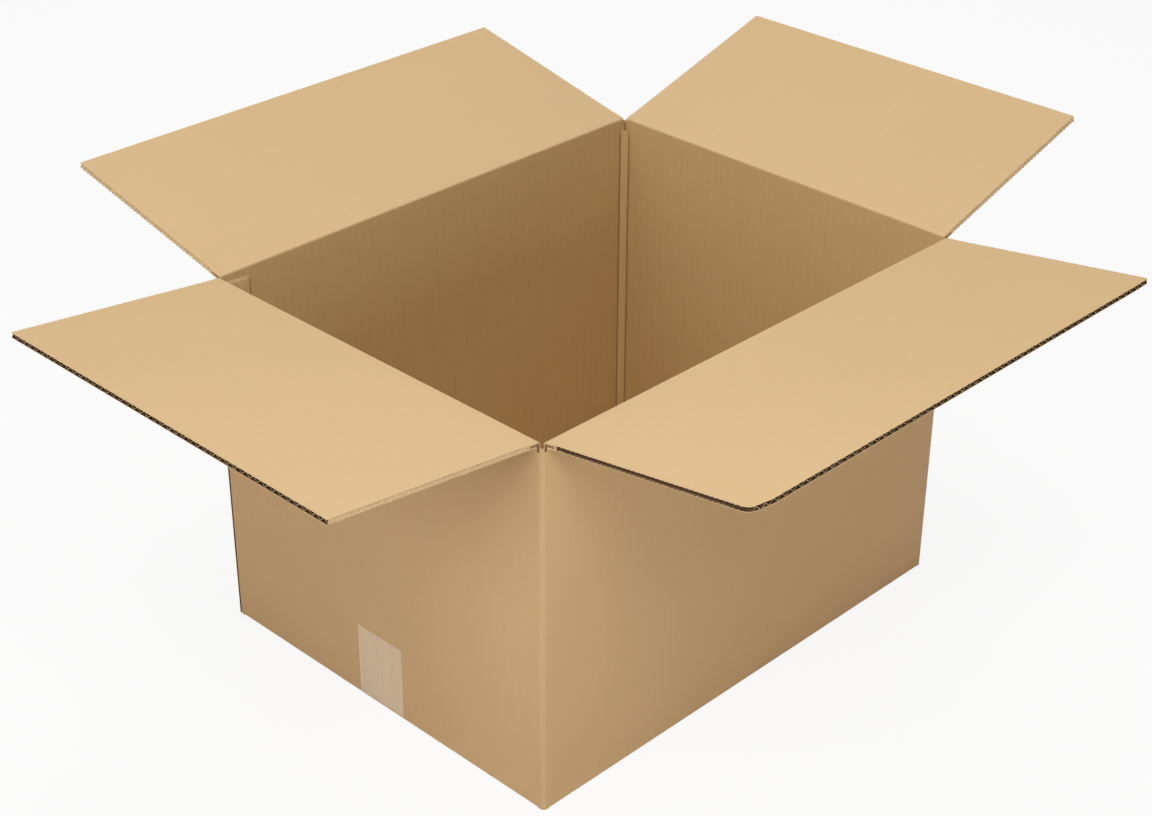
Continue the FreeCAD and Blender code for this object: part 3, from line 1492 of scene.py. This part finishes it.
@dataclass
class GlueTab:
    """Tab of the left wall, glued to the inside of the back wall."""

    width: float = 29.0
    board: float = 1.5
    root_top: float = 305.4
    slope: float = 2.6
    foot: float = 14.3
    cut: float = 2.4
    rows: int = 30
    columns: tuple[float, ...] = (0.0, 0.08, 0.2, 0.5, 0.8, 0.94, 1.0)

    def make(self, finishes: Finishes) -> None:
        """Build the tab.

        Args:
            finishes: the shared materials.
        """
        root = -INNER_LENGTH
        path = [
            mm(root + self.width * share, INNER_WIDTH - self.board, self.foot)
            for share in self.columns
        ]
        height = Vector((0, 0, (self.root_top - self.foot) * MM))
        tab = sweep_sheet("glue_tab", path, height, self.rows)
        top = self.root_top * MM - HAIR
        low = self.foot * MM + HAIR
        row = height.z / self.rows
        for point in tab.data.vertices:
            share = (point.co.x / MM - root) / self.width
            if point.co.z > top:
                point.co.z -= self.slope * share * MM
                point.co.y += (self.board - 0.1) * MM
            elif point.co.z > top - row * 1.1:
                point.co.z = top - (self.cut + self.slope * share) * MM
            if point.co.z < low:
                point.co.z += self.slope * share * MM
            # The free edge is pressed down to the wall.
            if share > 0.985 and point.co.z < top - self.cut * MM:
                point.co.y += self.board * 0.7 * MM

        def choose(face: bpy.types.MeshPolygon) -> int:
            """The slot of a face: cut top, painted shade along the pressed free edge,
            or liner.
            """
            if face.center.z > top - (self.cut + self.slope) * MM:
                return 1
            return 2 if face.center.x > (root + self.width * 0.95) * MM else 0

        # The tab takes the darker inside paper, as painted shade within the box
        liner = finishes.inside[Flutes.ALONG_X]
        paint(tab, [liner, finishes.edge, finishes.crease], choose)
        if tab.data.polygons[0].normal.y > 0:
            tab.data.flip_normals()
        thickness = (self.board + 0.3) * MM
        apply_modifier(
            tab, "SOLIDIFY", thickness=thickness, offset=-1.0, material_offset_rim=1
        )
        soften(tab, 40.0)
        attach(tab, "carton")
        LOG.info("glue tab")


@dataclass
class BottomTape:
    """Clear tape along the bottom seam and up both short walls."""

    width: float = 50.0
    leg: float = 66.0
    film: float = 0.06
    tooth: float = 0.5
    stand_off: float = 0.06
    turn_radius: float = 2.5
    columns: int = 64

    def make(self, finishes: Finishes) -> None:
        """Build the tape.

        Args:
            finishes: the shared materials.
        """
        out, low = HALF_LENGTH + self.stand_off, POST_FOOT - 0.05
        wall, bottom = Vector((-out, self.leg)), Vector((-out, low))
        line = fillet(wall, bottom, Vector((-LONG_HALF, low)), self.turn_radius, 6)
        line[1:1] = [wall.lerp(line[1], share / 8) for share in range(1, 8)]
        line += [Vector((-LONG_HALF + 2.5, 0.05)), Vector((0, 0.05))]
        line += [Vector((-point.x, point.y)) for point in reversed(line[:-1])]
        half = self.width / 2
        path = [mm(point.x, -half, point.y) for point in line]
        across = Vector((0, self.width * MM, 0))
        tape = sweep_sheet("bottom_tape_strip", path, across, self.columns)
        step = self.width / self.columns
        # The ends are cut in a zigzag.
        for point in tape.data.vertices:
            row = round((point.co.y / MM + half) / step)
            if point.co.z > (self.leg - 0.1) * MM and row % 2:
                point.co.z -= self.tooth * MM
        paint(tape, [finishes.tape])
        apply_modifier(tape, "SOLIDIFY", thickness=self.film * MM, offset=0.0)
        weld(tape, HAIR / 10)
        soften(tape, 60.0)
        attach(tape, "carton")
        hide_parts("bottom_tape")
        LOG.info("bottom tape")


# ---- stage


def hang(name: str, data: bpy.types.Camera | bpy.types.Light) -> Piece:
    """Put a camera or light into the scene.

    Args:
        name: the object's name.
        data: the camera or light.

    Returns:
        The object.
    """
    thing = bpy.data.objects.new(name, data)
    bpy.context.scene.collection.objects.link(thing)
    return thing


@dataclass
class Camera:
    """Camera at the photograph's place."""

    location: tuple[float, float, float] = (-1098.1, -1060.42, 1050.07)
    azimuth: float = -45.63
    elevation: float = 29.81
    roll: float = -0.26
    lens: float = 68.1

    def make(self) -> None:
        """Place the camera and make it the scene's."""
        turn, rise, lean = (
            math.radians(value) for value in (self.azimuth, self.elevation, self.roll)
        )
        flat = math.cos(rise)
        back = Vector((math.sin(turn) * flat, -math.cos(turn) * flat, math.sin(rise)))
        right = Vector((0, 0, 1)).cross(back).normalized()
        level = Matrix((right, back.cross(right), back)).transposed()
        camera = hang("camera", bpy.data.cameras.new("camera"))
        camera.data.lens = self.lens
        camera.data.sensor_width = 36.0
        camera.data.clip_start = 0.05
        camera.data.clip_end = 60.0
        camera.matrix_world = Matrix.Translation(mm(*self.location)) @ (
            level @ Matrix.Rotation(-lean, 3, "Z")
        ).to_4x4()
        bpy.context.scene.camera = camera
        LOG.info("camera")


@dataclass
class Lamp:
    """Soft square lamp that looks at a point of the box."""

    name: str
    place: tuple[float, float, float]
    size: float
    power: float
    aim: tuple[float, float, float] = (0.0, 0.0, 0.2)

    def make(self) -> None:
        """Hang the lamp."""
        light = bpy.data.lights.new(self.name, "AREA")
        light.size = self.size
        light.energy = self.power
        lamp = hang(self.name, light)
        lamp.location = self.place
        away = Vector(self.place) - Vector(self.aim)
        lamp.rotation_euler = away.to_track_quat("Z", "Y").to_euler()
        LOG.info("lamp %s", self.name)


@dataclass
class Studio:
    """Pale floor, soft light and a white surround."""

    floor_tone: float = 0.86
    surround: float = 0.0
    floor_white: float = 0.9
    floor_level: float = -0.0004

    def make(self) -> None:
        """Build the floor, the world and the lamps."""
        self._floor()
        self._world()
        for lamp in (
            Lamp("top_lamp", (0.8, 0.9, 2.6), 1.8, 41.5),
            Lamp("corner_lamp", (-0.8, -0.8, 1.5), 0.9, 14.4),
            Lamp("left_lamp", (-2.2, 0.3, 1.1), 1.4, 18.0),
            Lamp("front_lamp", (0.0, -2.0, 0.3), 1.2, 12.2),
        ):
            lamp.make()
        LOG.info("studio")

    def _floor(self) -> None:
        """Wide pale floor that shows nearly white."""
        clear_selection()
        bpy.ops.mesh.primitive_plane_add(size=40.0)
        floor = bpy.context.active_object
        floor.name = "floor"
        recipe = Recipe(bpy.data.materials.new("pale_floor"))
        recipe.surface((*(self.floor_tone,) * 3, 1.0), 0.9, 0.1)
        glow = recipe.add("ShaderNodeEmission", {"Color": WHITE, "Strength": 1.0})
        share = recipe.sums("MULTIPLY", recipe.seen(), self.floor_white)
        feeds = {0: share, 1: recipe.shader.outputs[0], 2: glow.outputs[0]}
        mix = recipe.add("ShaderNodeMixShader", feeds)
        recipe.feed(recipe.nodes["Material Output"], {"Surface": mix.outputs[0]})
        paint(floor, [recipe.owner])
        floor.location.z = self.floor_level
        bpy.ops.object.transform_apply(location=True)

    def _world(self) -> None:
        """Surround that shows as white and lights the box by its own strength."""
        world = bpy.data.worlds.new("surround")
        bpy.context.scene.world = world
        recipe = Recipe(world, "Background")
        feeds = {"Value": recipe.seen(), "To Min": self.surround, "To Max": 1.0}
        level = recipe.add("ShaderNodeMapRange", feeds)
        recipe.feed(recipe.shader, {"Color": WHITE, "Strength": level.outputs[0]})


def main() -> None:
    """Build the box piece by piece, then its stage."""
    logging.basicConfig(level=logging.INFO, format="%(name)s: %(message)s")
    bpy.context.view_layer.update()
    bpy.context.scene.view_settings.view_transform = "Standard"
    finishes = Finishes()
    Camera().make()
    Studio().make()
    Walls().make(finishes)
    GlueTab().make(finishes)
    for bottom in (
        BottomFlap(Side.FRONT, 0.12, 1.2),
        BottomFlap(Side.BACK, 0.12, 1.2),
        BottomFlap(Side.LEFT, 4.3, 4.0, drop=3.8),
        BottomFlap(Side.RIGHT, 4.3, 4.0, drop=3.8),
    ):
        bottom.make(finishes)
    BottomTape().make(finishes)
    worn = ((1, 12.0), (-1, 3.5))
    for flap in (
        TopFlap(Side.FRONT, 81.3, "front_flap", corners=worn, pinched=(-1,)),
        TopFlap(Side.BACK, 77.6, "back_flap"),
        TopFlap(Side.LEFT, 83.4, "left_flap"),
        TopFlap(Side.RIGHT, 73.4, "right_flap"),
    ):
        flap.make(finishes)


if __name__ == "__main__":
    main()
